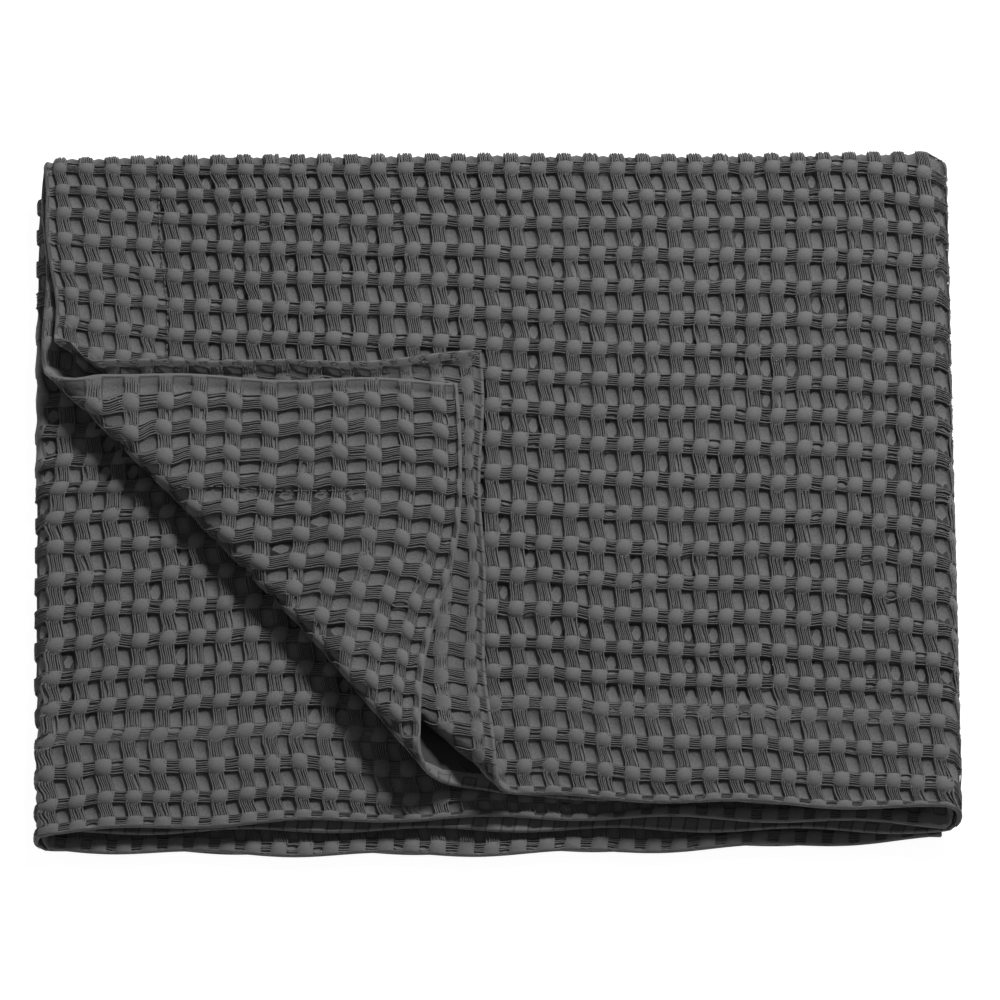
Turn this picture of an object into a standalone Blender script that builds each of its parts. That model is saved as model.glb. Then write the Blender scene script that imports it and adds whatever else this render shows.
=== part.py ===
"""A waffle weave cotton blanket, folded in half, then in three, with its front left corner turned up.

Metres, +Z up. The open front with its loose edges faces -Y, and the blanket lies on z = 0.
The flat blanket is cut and hemmed first. Every point of it is then carried through its three folds:
the half fold along the back, the two folds that lay the doubled cloth in three, and the turned corner.
"""

import math
from collections import namedtuple

import bmesh
import bpy
import numpy as np

# The cloth
THICKNESS = 0.0030
HEM_THICKNESS = 0.0036  # two plies, turned and sewn
FRONT_HEM = 0.046
SIDE_HEM = 0.058
LAYER_PITCH = 0.0045  # from the middle of one layer to the middle of the next

# The folds
HALF_WIDTH = 0.350  # from the half fold to the long hem
PANEL = 0.453  # from one side fold to the next
FOLD_RADIUS = LAYER_PITCH  # of the doubled cloth's middle, round a side fold
FOLD_ARC = math.pi * FOLD_RADIUS
HALF_FOLD_RADIUS = LAYER_PITCH / 2.0
HALF_FOLD_ARC = math.pi * HALF_FOLD_RADIUS
LENGTH = 3 * PANEL + 2 * FOLD_ARC
WIDTH = 2 * HALF_WIDTH + HALF_FOLD_ARC

# Where the panels lie
RIGHT_FOLD_X = 0.2268  # of the side folds' axes
LEFT_FOLD_BACK_X = -0.2277
LEFT_FOLD_FRONT_X = -0.2214
BOTTOM_PANEL_Z = THICKNESS / 2.0 + HALF_FOLD_RADIUS
MIDDLE_PANEL_Z = BOTTOM_PANEL_Z + 2 * FOLD_RADIUS
TOP_PANEL_Z = MIDDLE_PANEL_Z + 2 * FOLD_RADIUS
OUTER_EDGE_BACK_X = -0.2295  # of the short hem at the left, on the outer and on the inner cloth
OUTER_EDGE_FRONT_X = -0.2215
INNER_EDGE_BACK_X = -0.2315
INNER_EDGE_FRONT_X = -0.2235
OUTER_EDGE_SLANT = 0.100  # from the back, over which the outer cloth's edge slants
LAST_EDGE_X = 0.2255  # of the other short hem, under the right fold

# Each panel's outline in Y where it starts, halfway and where it ends, going along the blanket.
# The outer cloth is on top in the top panel, and the inner cloth is the one under it.
Panel = namedtuple("Panel", "back outer_edge inner_edge")
PANELS = (
    Panel(
        back=(0.1755, 0.1775, 0.1778),
        outer_edge=(-0.139, -0.155, -0.163),
        inner_edge=(-0.146, -0.155, -0.160),
    ),
    Panel(
        back=(0.1768, 0.175, 0.1625),
        outer_edge=(-0.172, -0.171, -0.173),
        inner_edge=(-0.170, -0.166, -0.174),
    ),
    Panel(
        back=(0.162, 0.174, 0.176),
        outer_edge=(-0.1805, -0.1825, -0.1745),
        inner_edge=(-0.1790, -0.1805, -0.1725),
    ),
)
BACK_CORNER = 0.004  # how far each corner of the half fold is rounded off
BACK_CORNER_REACH = 0.012

# The turned corner: its crease leaves the left edge this far from the half fold, and slants to the front.
CREASE_DEPTH = 0.116
CREASE_ANGLE = math.radians(45.9)
CREASE_LENGTH = (HALF_WIDTH - CREASE_DEPTH) / math.sin(CREASE_ANGLE)
Turn = namedtuple("Turn", "start mouth_start mouth_length radius mouth_radius slack lean stretch")
OUTER_TURN = Turn(
    start=0.0,  # from the crease, at its left end
    mouth_start=-0.012,  # and at its front end, the mouth
    mouth_length=0.075,
    radius=0.00225,
    mouth_radius=0.0080,
    slack=0.0,  # how far the mouth's flap stays back
    lean=0.084,  # how far the flap slides along the crease, for its reach
    stretch=1.0,
)
INNER_TURN = Turn(
    start=0.00525,
    mouth_start=0.005,
    mouth_length=0.140,
    radius=0.00675,
    mouth_radius=0.0130,
    slack=0.016,
    lean=0.060,
    stretch=1.035,
)
MOUTH_SLOPE = 0.070  # over which the inner cloth comes down again on the flap
SWAY = 0.006  # of the inner cloth's long hem where it is turned up
SWAY_LENGTH = 0.230
SAG = 0.0075  # of the outer cloth's short hem where it is turned up

# The soft rise and fall of the pile: height, then the length of a wave along X and Y, then its shift
Wave = namedtuple("Wave", "height length_x length_y shift")
WAVES = (
    Wave(height=0.0012, length_x=0.31, length_y=0.42, shift=0.6),
    Wave(height=0.0007, length_x=0.17, length_y=0.23, shift=2.1),
)
EDGE_WAVE = 0.0012  # in and out of the long hems
EDGE_WAVE_LENGTH = 0.094

# How finely the cloth is divided
PANEL_STEPS = 12
HALF_WIDTH_STEPS = 9
FOLD_STEPS = 6
TURN_STEPS = 6
SLOPE_STEPS = 3
MOUTH_STEPS = 7
MOUTH_MARGIN = 0.012
CORNER_CUTS = (0.004, 0.008, 0.012)  # from each end of the half fold

COTTON = (0.118, 0.118, 0.118, 1.0)


def clear_scene():
    for thing in list(bpy.data.objects):
        bpy.data.objects.remove(thing)


def ease(t):
    """A smooth step from 0 to 1."""
    t = np.clip(t, 0.0, 1.0)
    return t * t * (3.0 - 2.0 * t)


def through(three, t):
    """The curve through a start, a middle and an end value."""
    start, middle, end = three
    return start * (1 - t) * (1 - 2 * t) + 4 * middle * t * (1 - t) + end * t * (2 * t - 1)


def outline(column, u):
    """A column of PANELS at the place u along the blanket, eased over from panel to panel in the folds."""
    value = through(getattr(PANELS[0], column), u / PANEL)
    for index in range(1, len(PANELS)):
        start = index * (PANEL + FOLD_ARC)
        last = getattr(PANELS[index - 1], column)[-1]
        first = getattr(PANELS[index], column)[0]
        in_fold = last + (first - last) * ease((u - start + FOLD_ARC) / FOLD_ARC)
        value = np.where(u > start - FOLD_ARC, in_fold, value)
        value = np.where(u > start, through(getattr(PANELS[index], column), (u - start) / PANEL), value)
    return value


def fold_in_half(v, height):
    """Half fold: depth from the back, rise off the doubled cloth's middle, bulge past the fold, and side."""
    angle = np.clip((v + HALF_FOLD_ARC / 2.0) / HALF_FOLD_ARC, 0.0, 1.0) * math.pi
    depth = np.maximum(np.abs(v) - HALF_FOLD_ARC / 2.0, 0.0)
    reach = HALF_FOLD_RADIUS + height
    return depth, -reach * np.cos(angle), reach * np.sin(angle), v > 0


def from_crease(u, depth):
    """Distance along the crease from the left edge, and beyond it towards the corner."""
    along_u = math.cos(CREASE_ANGLE)
    along_depth = math.sin(CREASE_ANGLE)
    down = depth - CREASE_DEPTH
    return u * along_u + down * along_depth, down * along_u - u * along_depth


def turn_corner(u, depth, rise, outer, drift):
    """The front left corner of the top panel, rolled up and over along the crease."""
    s, w = from_crease(u, depth)
    drift_s = drift[0] * math.cos(CREASE_ANGLE) + drift[1] * math.sin(CREASE_ANGLE)
    drift_w = drift[1] * math.cos(CREASE_ANGLE) - drift[0] * math.sin(CREASE_ANGLE)
    for turn, side in ((OUTER_TURN, outer), (INNER_TURN, ~outer)):
        opening = ease(1.0 - (CREASE_LENGTH - s) / turn.mouth_length)
        middle = HALF_FOLD_RADIUS if turn is OUTER_TURN else -HALF_FOLD_RADIUS
        radius = turn.radius + (turn.mouth_radius - turn.radius) * opening
        start = turn.start + (turn.mouth_start - turn.start) * opening
        beyond = np.maximum(w - start - math.pi * radius, 0.0)
        angle = np.clip((w - start) / radius, 0.0, math.pi)
        own_radius = radius - (rise - middle)
        settled = ease(beyond / MOUTH_SLOPE)
        reach = turn.stretch * beyond - turn.slack * opening * settled
        turned = side & (w > start) & (u < PANEL)
        s = np.where(turned, s - turn.lean * beyond, s)
        w = np.where(turned, start + own_radius * np.sin(angle) - reach, w)
        height = middle + radius - own_radius * np.cos(angle) - 2.0 * (radius - turn.radius) * settled
        rise = np.where(turned, height, rise)
        drift_w = np.where(turned, drift_w * np.cos(angle), drift_w)
    s = s + drift_s
    w = w + drift_w
    u = s * math.cos(CREASE_ANGLE) - w * math.sin(CREASE_ANGLE)
    return u, CREASE_DEPTH + s * math.sin(CREASE_ANGLE) + w * math.cos(CREASE_ANGLE), rise


def front_to_back(depth, back, front, reach=HALF_WIDTH):
    return back + (front - back) * np.minimum(depth / reach, 1.0)


def lay_in_three(u, depth, rise, outer):
    """X and Z of the doubled cloth, laid to the right, back to the left and to the right again."""
    edge = np.where(
        outer,
        front_to_back(depth, OUTER_EDGE_BACK_X, OUTER_EDGE_FRONT_X, OUTER_EDGE_SLANT),
        front_to_back(depth, INNER_EDGE_BACK_X, INNER_EDGE_FRONT_X),
    )
    left_fold = front_to_back(depth, LEFT_FOLD_BACK_X, LEFT_FOLD_FRONT_X)
    second = PANEL + FOLD_ARC
    third = second + PANEL + FOLD_ARC
    right_turn = np.clip((u - PANEL) / FOLD_RADIUS, 0.0, math.pi)
    left_turn = np.clip((u - second - PANEL) / FOLD_RADIUS, 0.0, math.pi)
    outside = FOLD_RADIUS + rise
    inside = FOLD_RADIUS - rise
    lengths = (
        (PANEL, RIGHT_FOLD_X - (PANEL - u) * (RIGHT_FOLD_X - edge) / PANEL, TOP_PANEL_Z + rise),
        (
            second,
            RIGHT_FOLD_X + outside * np.sin(right_turn),
            TOP_PANEL_Z - FOLD_RADIUS + outside * np.cos(right_turn),
        ),
        (
            second + PANEL,
            RIGHT_FOLD_X + (u - second) * (left_fold - RIGHT_FOLD_X) / PANEL,
            MIDDLE_PANEL_Z - rise,
        ),
        (
            third,
            left_fold - inside * np.sin(left_turn),
            MIDDLE_PANEL_Z - FOLD_RADIUS + inside * np.cos(left_turn),
        ),
        (np.inf, left_fold + (u - third) * (LAST_EDGE_X - left_fold) / PANEL, BOTTOM_PANEL_Z + rise),
    )
    reached = [u <= end for end, _, _ in lengths]
    return np.select(reached, [x for _, x, _ in lengths]), np.select(reached, [z for _, _, z in lengths])


def place_in_y(u, depth, bulge, outer):
    """Y between the half fold and the long hem. Where a layer is short, its cloth is gathered at the back."""
    back = outline("back", u)
    edge = np.where(outer, outline("outer_edge", u), outline("inner_edge", u))
    from_edge = HALF_WIDTH - depth
    gathered = HALF_WIDTH - (back - edge)
    return edge + from_edge - gathered * (from_edge / HALF_WIDTH) ** 3 + bulge


def round_back_corners(x, y):
    """The half fold draws in at its two ends."""
    from_end = RIGHT_FOLD_X + FOLD_RADIUS - np.abs(x)
    near_end = 1.0 - np.clip(from_end / BACK_CORNER_REACH, 0.0, 1.0)
    near_back = ease((y - PANELS[0].back[1] + 3 * BACK_CORNER_REACH) / (3 * BACK_CORNER_REACH))
    return y - BACK_CORNER * near_end**2 * near_back


def settle(x, y, z):
    """The pile rises and falls a little, more at its top than at its bottom, which is flat."""
    height = TOP_PANEL_Z + HALF_FOLD_RADIUS
    share = np.clip(z / height, 0.0, 1.0) ** 2
    for wave in WAVES:
        phase = 2 * math.pi * (x / wave.length_x + y / wave.length_y) + wave.shift
        z = z + wave.height * share * np.sin(phase)
    return z


def hem_height(u, v, height):
    """The hems are two plies thick, but the underside of the bottom layer stays flat."""
    in_hem = (np.abs(v) > WIDTH / 2 - FRONT_HEM) | (u < SIDE_HEM) | (u > LENGTH - SIDE_HEM)
    underside = (v < 0) & (height > 0)
    flat = ease((u - (LENGTH - PANEL - FOLD_ARC)) / FOLD_ARC) * underside
    return height * (1.0 + (HEM_THICKNESS / THICKNESS - 1.0) * in_hem * (1.0 - flat))


def wander(u, depth, outer):
    """How far the hems run in and out along the cloth's edges."""
    along = np.sin(2 * math.pi * u / EDGE_WAVE_LENGTH + np.where(outer, 0.0, 2.0))
    across = np.sin(2 * math.pi * depth / EDGE_WAVE_LENGTH + np.where(outer, 1.0, 3.0))
    near_start = np.clip(1.0 - u / PANEL, 0.0, 1.0) ** 4
    sway = np.sin(2 * math.pi * u / SWAY_LENGTH) * ~outer * (u < SWAY_LENGTH)
    turned_up = np.clip((depth - CREASE_DEPTH) / (HALF_WIDTH - CREASE_DEPTH), 0.0, 1.0)
    sag = np.sin(math.pi * turned_up) * outer
    across = (EDGE_WAVE * across + SAG * sag) * near_start
    return across, (EDGE_WAVE * along + SWAY * sway) * (depth / HALF_WIDTH) ** 4


def fold(u, v, height):
    """Where the point u along, v across and height off the middle of the flat blanket ends up."""
    depth, rise, bulge, outer = fold_in_half(v, hem_height(u, v, height))
    u, depth, rise = turn_corner(u, depth, rise, outer, wander(u, depth, outer))
    x, z = lay_in_three(u, depth, rise, outer)
    y = round_back_corners(x, place_in_y(u, depth, bulge, outer))
    return x, y, settle(x, y, z)


def cut_places():
    """Where the flat blanket is divided along u and across v."""
    along = [SIDE_HEM, LENGTH - SIDE_HEM]
    for index in range(len(PANELS)):
        start = index * (PANEL + FOLD_ARC)
        along += [start + PANEL * step / PANEL_STEPS for step in range(PANEL_STEPS + 1)]
        along += [start + PANEL + FOLD_ARC * step / FOLD_STEPS for step in range(1, FOLD_STEPS)]
        along += [start + cut for cut in CORNER_CUTS] + [start + PANEL - cut for cut in CORNER_CUTS]
    along = [u for u in along if 0.0 < u < LENGTH - 1e-6]
    across = [HALF_FOLD_ARC * (step / FOLD_STEPS - 0.5) for step in range(FOLD_STEPS + 1)]
    for step in range(1, HALF_WIDTH_STEPS):
        depth = (HALF_WIDTH - FRONT_HEM) * step / (HALF_WIDTH_STEPS - 1)
        across += [HALF_FOLD_ARC / 2 + depth, -HALF_FOLD_ARC / 2 - depth]
    return along, across


def turn_cuts(turn):
    """How far beyond the crease the cloth is divided, along lines that follow the crease."""
    first = min(turn.start, turn.mouth_start)
    last = max(turn.start + math.pi * turn.radius, turn.mouth_start + math.pi * turn.mouth_radius)
    steps = math.ceil((last - first) / (math.pi * turn.radius / TURN_STEPS))
    cuts = [first + (last - first) * step / steps for step in range(steps + 1)]
    return cuts + [last + MOUTH_SLOPE * step / SLOPE_STEPS for step in range(1, SLOPE_STEPS + 1)]


def bisect(blanket, faces, place, across):
    """Divide some of the flat blanket's faces along the line through a place, square to a direction."""
    edges = {edge for face in faces for edge in face.edges}
    corners = {vert for face in faces for vert in face.verts}
    bmesh.ops.bisect_plane(
        blanket,
        geom=list(faces) + list(edges) + list(corners),
        dist=1e-7,
        plane_co=place,
        plane_no=across,
    )


def divide_turn(blanket, turn, side):
    """Lines along the crease, and across it at the mouth, on one side of the half fold."""
    crease_v = HALF_FOLD_ARC / 2 + CREASE_DEPTH
    along = (math.cos(CREASE_ANGLE), side * math.sin(CREASE_ANGLE), 0.0)
    across = (-math.sin(CREASE_ANGLE), side * math.cos(CREASE_ANGLE), 0.0)
    cuts = turn_cuts(turn)
    mouth_step = turn.mouth_length / MOUTH_STEPS
    lines = [(cut, across) for cut in cuts]
    lines += [(CREASE_LENGTH - mouth_step * step, along) for step in range(MOUTH_STEPS + 1)]
    for distance, direction in lines:
        faces = []
        for face in blanket.faces:
            u, v, _ = face.calc_center_median()
            _, beyond = from_crease(u, side * v - HALF_FOLD_ARC / 2)
            at_turn = cuts[0] - MOUTH_MARGIN < beyond < cuts[-1] + MOUTH_MARGIN
            if u < PANEL and side * v > HALF_FOLD_ARC / 2 and (direction is across or at_turn):
                faces.append(face)
        place = (distance * direction[0], side * crease_v + distance * direction[1], 0.0)
        bisect(blanket, faces, place, direction)


def flat_blanket():
    """The hemmed cloth before it is folded: u along X, v across it on Y, its thickness on Z."""
    blanket = bmesh.new()
    bmesh.ops.create_cube(blanket, size=1.0)
    for vert in blanket.verts:
        x, y, z = vert.co
        vert.co = ((x + 0.5) * LENGTH, y * WIDTH, z * THICKNESS)
    along, across = cut_places()
    for u in along:
        bisect(blanket, blanket.faces[:], (u, 0.0, 0.0), (1.0, 0.0, 0.0))
    for v in across:
        bisect(blanket, blanket.faces[:], (0.0, v, 0.0), (0.0, 1.0, 0.0))
    for turn, side in ((OUTER_TURN, 1.0), (INNER_TURN, -1.0)):
        divide_turn(blanket, turn, side)
    bmesh.ops.triangulate(blanket, faces=blanket.faces[:])
    return blanket


def waffle_cotton():
    material = bpy.data.materials.new("waffle cotton")
    material.use_nodes = True
    shader = material.node_tree.nodes["Principled BSDF"]
    shader.inputs["Base Color"].default_value = COTTON
    shader.inputs["Roughness"].default_value = 0.95
    shader.inputs["Metallic"].default_value = 0.0
    material.diffuse_color = COTTON
    return material


def folded_blanket():
    blanket = flat_blanket()
    flat = np.array([vert.co[:] for vert in blanket.verts])
    folded = np.stack(fold(flat[:, 0], flat[:, 1], flat[:, 2]), axis=1)
    middle = (folded.min(axis=0) + folded.max(axis=0)) / 2.0
    folded[:, :2] -= middle[:2]
    for vert, place in zip(blanket.verts, folded):
        vert.co = place
    bmesh.ops.reverse_faces(blanket, faces=blanket.faces[:])  # folding mirrors the cloth
    mesh = bpy.data.meshes.new("blanket")
    blanket.to_mesh(mesh)
    blanket.free()
    mesh.shade_smooth()
    mesh.set_sharp_from_angle(angle=math.radians(50))
    mesh.materials.append(waffle_cotton())
    bpy.context.scene.collection.objects.link(bpy.data.objects.new("blanket", mesh))


clear_scene()
folded_blanket()
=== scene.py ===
import math
from collections import namedtuple

import bmesh
import bpy
import numpy as np
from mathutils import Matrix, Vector


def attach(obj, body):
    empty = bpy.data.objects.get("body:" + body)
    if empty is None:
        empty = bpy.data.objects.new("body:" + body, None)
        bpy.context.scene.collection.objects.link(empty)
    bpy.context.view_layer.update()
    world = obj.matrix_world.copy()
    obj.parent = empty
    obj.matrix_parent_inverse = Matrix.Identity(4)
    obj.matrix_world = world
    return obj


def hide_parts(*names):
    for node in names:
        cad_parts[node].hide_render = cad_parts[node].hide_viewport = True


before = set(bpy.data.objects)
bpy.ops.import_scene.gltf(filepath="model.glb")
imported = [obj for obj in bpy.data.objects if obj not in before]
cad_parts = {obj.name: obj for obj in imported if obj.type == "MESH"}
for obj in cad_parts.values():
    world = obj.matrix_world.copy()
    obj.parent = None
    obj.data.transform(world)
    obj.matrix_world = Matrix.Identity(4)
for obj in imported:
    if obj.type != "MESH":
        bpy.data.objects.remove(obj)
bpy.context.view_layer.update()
bpy.ops.object.select_all(action="DESELECT")

# The cloth, as in the solid
THICKNESS = 0.0030
FRONT_HEM = 0.046
SIDE_HEM = 0.058
LAYER_PITCH = 0.0045
HALF_WIDTH = 0.350
PANEL = 0.453
FOLD_RADIUS = LAYER_PITCH
FOLD_ARC = math.pi * FOLD_RADIUS
HALF_FOLD_RADIUS = LAYER_PITCH / 2.0
HALF_FOLD_ARC = math.pi * HALF_FOLD_RADIUS
LENGTH = 3 * PANEL + 2 * FOLD_ARC
WIDTH = 2 * HALF_WIDTH + HALF_FOLD_ARC
SECOND_PANEL = PANEL + FOLD_ARC
THIRD_PANEL = 2 * (PANEL + FOLD_ARC)

# Where the panels lie
RIGHT_FOLD_X = 0.2268
LEFT_FOLD_BACK_X = -0.2277
LEFT_FOLD_FRONT_X = -0.2214
BOTTOM_PANEL_Z = THICKNESS / 2.0 + HALF_FOLD_RADIUS
MIDDLE_PANEL_Z = BOTTOM_PANEL_Z + 2 * FOLD_RADIUS
TOP_PANEL_Z = MIDDLE_PANEL_Z + 2 * FOLD_RADIUS
OUTER_EDGE_BACK_X = -0.2320
OUTER_EDGE_FRONT_X = -0.2240
INNER_EDGE_BACK_X = -0.2315
INNER_EDGE_FRONT_X = -0.2235
OUTER_EDGE_SLANT = 0.100
LAST_EDGE_X = 0.2255
Panel = namedtuple("Panel", "back outer_edge inner_edge")
PANELS = (
    Panel((0.1755, 0.1775, 0.1778), (-0.139, -0.155, -0.163), (-0.146, -0.155, -0.160)),
    Panel((0.1768, 0.175, 0.1625), (-0.172, -0.171, -0.173), (-0.170, -0.166, -0.174)),
    Panel((0.162, 0.174, 0.176), (-0.1805, -0.1825, -0.1745), (-0.1790, -0.1805, -0.1725)),
)
BACK_CORNER = 0.004
BACK_CORNER_REACH = 0.012

# The turned corner
CREASE_DEPTH = 0.116
CREASE_ANGLE = math.radians(45.9)
ALONG_U = math.cos(CREASE_ANGLE)  # the crease's direction on the flat cloth
ALONG_DEPTH = math.sin(CREASE_ANGLE)
CREASE_LENGTH = (HALF_WIDTH - CREASE_DEPTH) / ALONG_DEPTH
Turn = namedtuple("Turn", "start mouth_start mouth_length radius mouth_radius slack lean stretch")
OUTER_TURN = Turn(0.0, -0.012, 0.075, 0.00225, 0.0080, 0.0, 0.084, 1.0)
INNER_TURN = Turn(0.00525, 0.005, 0.140, 0.00675, 0.0130, 0.016, 0.060, 1.035)
MOUTH_SLOPE = 0.070
SWAY = 0.006
SWAY_LENGTH = 0.230
SAG = 0.0075
# How far the short hems lie off the solid's where they are turned up: near the crease, and all along.
# What runs along them starts and reaches by shares of the turned up length.
Fade = namedtuple("Fade", "start length")
Knee = namedtuple("Knee", "near end all_along")
OUTER_KNEE = Knee(0.0100, Fade(0.05, 0.30), 0.0040)
INNER_KNEE = Knee(-0.0035, Fade(0.05, 0.20), -0.0040)
KNEE_START = Fade(0.01, 0.05)
KNEE_SLOPE = 0.012
CURL_START = 0.0060  # how far the outer cloth's turned up hem curls off it, at the crease
CURL_END = 0.0035  # and at its corner
CURL_RISE = 0.08
CURL_REACH = 0.014
Wave = namedtuple("Wave", "height length_x length_y shift")
WAVES = (Wave(0.0012, 0.31, 0.42, 0.6), Wave(0.0007, 0.17, 0.23, 2.1))
EDGE_WAVE = 0.0012
EDGE_WAVE_LENGTH = 0.094

# The weave. A cell runs from the middle of one raised block to the next.
LAST_COLUMN = 101
LAST_ROW = 41
Column = namedtuple("Column", "number u")
COLUMNS = (
    Column(-0.85, 0.0),
    Column(0, 0.0110),
    Column(6, 0.0933),
    Column(21, 0.2947),
    Column(33, 0.4504),
    Column(51, 0.68805),
    Column(59, 0.80459),
    Column(67, 0.92030),
    Column(79, 1.0770),
    Column(LAST_COLUMN, LENGTH - 0.0107),
    Column(LAST_COLUMN + 0.8, LENGTH),
)
Row = namedtuple("Row", "number from_edge")
ROWS = (
    Row(-0.2, 0.0),
    Row(0, 0.0034),
    Row(3, 0.0510),
    Row(5, 0.0835),
    Row(10, 0.1725),
    Row(15, 0.2610),
    Row(LAST_ROW / 2, WIDTH / 2),
)
# How far the blocks lie off the even grid, in cells: on the outer cloth, on the inner cloth where its
# corner is turned up, and on the inner cloth of the middle panel. Each has the number of a row or a
# column, how far across and how far along.
OUTER_ROWS = (
    (21, -0.11, 0.00), (23, 0.05, -0.05), (26, -0.06, 0.21), (29, -0.10, 0.15),
    (32, -0.21, 0.25), (35, -0.24, 0.24), (38, -0.10, 0.17), (41, 0.18, 0.20),
)
OUTER_COLUMNS = (
    (0, -0.15, -0.03), (4, -0.19, 0.20), (8, -0.20, 0.20), (14, -0.04, 0.08),
    (20, -0.02, 0.13), (26, 0.02, 0.10), (30, 0.04, 0.09), (34, -0.07, 0.36),
)
CORNER_ROWS = ((1, -0.05, -0.23), (4, -0.16, -0.11), (7, -0.02, 0.06), (10, 0.21, -0.05))
CORNER_COLUMNS = ((2, 0.16, -0.34), (8, 0.11, -0.01), (14, 0.0, 0.0))
INNER_ROWS = (
    (0, 0.0, -0.08), (1.5, 0.04, -0.27), (2.5, 0.21, -0.18), (4, -0.01, -0.17), (6, -0.14, -0.21),
    (8, -0.20, -0.31), (10, -0.10, -0.43), (12, -0.47, -0.73), (14, -0.62, -0.80), (20, 0.0, 0.0),
)
INNER_COLUMNS = ((54, 0.30, -0.30), (60, -0.02, 0.00), (68, -0.07, -0.06))
OUTER_TO_COLUMN = Fade(34, 6)
OUTER_FROM_ROW = Fade(14, 6.5)
CORNER_TO_COLUMN = Fade(14, 6)
CORNER_TO_ROW = Fade(10, 4)
INNER_FROM_COLUMN = Fade(40, 8)

# Where the mesh has lines, as shares of a cell, and off the rims
FINE_COLUMN_LINES = (0.0, 0.29, 0.32, 0.5, 0.68, 0.71)
FINE_ROW_LINES = (0.0, 0.24, 0.27, 0.5, 0.73, 0.76)
PLAIN_COLUMN_LINES = (0.0, 0.29, 0.5, 0.71)
PLAIN_ROW_LINES = (0.0, 0.24, 0.5, 0.76)
RIM = 0.0020  # the rounding of the cloth's edges
RIM_LINES = (0.0, 0.0002, 0.0007, 0.0013, 0.0020)
RIM_CLEAR = 1.2 * RIM  # no line of the weave comes nearer to an edge
HALF_FOLD_LINES = 6
OUTER_TURN_LINES = 9
INNER_TURN_LINES = 12
HALF_FOLD_REACH = 0.012  # how far from a new line on a fold or a turn its faces are looked for
TURN_REACH = 0.016

# Heights off the middle of the cloth
BLOCK = 0.00138
BLOCK_DOME = 0.00042
UNDER_LONG = 0.00010  # the cloth under the floating yarns
UNDER_SHORT = -0.00030
LONG_BARE = 0.00090  # where the yarns are not made, because they hardly show
SHORT_BARE = 0.00040
POCKET = -0.00155
POCKET_DOME = 0.00110
BLOCK_UNEVEN = 0.00008
POCKET_UNEVEN = 0.00018
COARSE_HEIGHT = 0.00150
ROPE = 0.00140  # the corded edge of the cloth
SIDE_ROPE_WIDTH = 0.0026
FRONT_ROPE_WIDTH = 0.0012
ROPE_SLOPE = 0.0010
ROPE_BUMPS = 0.10
ROLL_WIDER = 0.8  # how much the cord grows where the short hem is turned up, and over what length
ROLL_HIGHER = 0.7
ROLL_LENGTH = 0.02
HEM_FILL = 0.00035  # how much shallower the pockets are in the hems, and at the front hem's seam
SEAM_FILL = 0.00080
SEAM_FILL_END = Fade(0.004, 0.004)
HEM_LIFT = 1.12
HEM_STEP = 0.002
SEAM_DIP = 0.00060
SEAM_DIP_INSIDE = 0.4  # the share of the dip that shows on the inside
SEAM_WIDTH = 0.0022
UNDERNEATH = 0.85  # the share of the weave's height under the blanket's own weight

# The plan of a block and of a pocket, in cells, by column and by row
Plan = namedtuple("Plan", "column row")
BLOCK_HALF = Plan(0.288, 0.238)
BLOCK_WALL = 0.034
BLOCK_DOME_HALF = Plan(0.30, 0.25)
POCKET_DOME_HALF = Plan(0.20, 0.25)

# How the weave draws in between the blocks, and how far a block strays, in cells
PINCH = Plan(0.045, 0.050)
PINCH_AT = Plan(0.29, 0.25)
STRAY = 0.024
STRIP_LEAN = 0.055  # of the long floats and of the cloth under them
STRIP_LEAN_START = Fade(0.2, 0.055)
RIM_CELLS = 0.8  # within these of a rim the blocks come back into line
Ripple = namedtuple("Ripple", "height by_column by_row start")
RIPPLE_ACROSS = Ripple(0.022, 0.23, 0.31, 0.0)
RIPPLE_ALONG = Ripple(0.020, 0.29, -0.17, 1.0)

# How far in from an edge, and how far on from the crease, the cloth shows
EDGE_SHOWN = 0.012
HEM_SHOWN = 0.045
MIDDLE_PANEL_SHOWN = 0.036
BOTTOM_PANEL_SHOWN = 0.030
FOLD_SHOWN = 0.75 * FOLD_ARC
SHORT_HEM_SHOWN = 0.024
SHORT_HEM_SHOWN_TO = 0.010
MOUTH_SHOWN = 0.09
MOUTH_SHOWN_INSIDE = 0.12
OUTER_INSIDE_FROM = -0.004
OUTER_INSIDE_FROM_AT_MOUTH = -0.018
OUTER_TO = 0.016
OUTER_TO_AT_MOUTH = 0.030
INNER_FROM = -0.004
INNER_INSIDE_FROM = -0.03
MIDDLE_PANEL_FROM = -0.012
FLAP_FROM = -0.012
FLAP_TURN = 0.022
FLAP_MARGIN = 0.018

# Loose yarns that float over the cloth between the blocks
Float = namedtuple("Float", "yarns spread radius start end tops lean split reach rise")
LONG = Float(
    yarns=7, spread=0.255, radius=0.00054, start=0.20, end=0.80,
    tops=(0.00130, 0.00150, 0.00142, 0.00142, 0.00150, 0.00130), lean=0.05, split=0.030,
    reach=0.060, rise=0.00040,
)
SHORT = Float(
    yarns=6, spread=0.205, radius=0.00056, start=0.235, end=0.765,
    tops=(0.00120, 0.00138, 0.00110, 0.00110, 0.00138, 0.00120), lean=0.05, split=0.040,
    reach=0.060, rise=0.00040,
)
CORNERS = 3  # of a yarn's and a stitch's section
CELL_ACROSS = 0.0133
CELL_ALONG = 0.0165
RINGS_AT_ENDS = 0.6  # how much closer a yarn's rings lie at its ends
SPLIT_FADE = 0.55  # how fast a split in a float fades from yarn to yarn
FLOAT_BOW = 0.014
YARN_BOW = 0.009
YARN_SHIFT = 0.008
YARN_END = 0.010
OUTER_YARN_SAG = 0.00025
YARN_SAG = 0.00014
YARN_FLATNESS = 0.85
YARN_RIM = 0.02  # how far a yarn's end stays off the short hem's edge, in cells
LEAN_LOW, LEAN_HIGH = 0.15, 0.85
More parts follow.
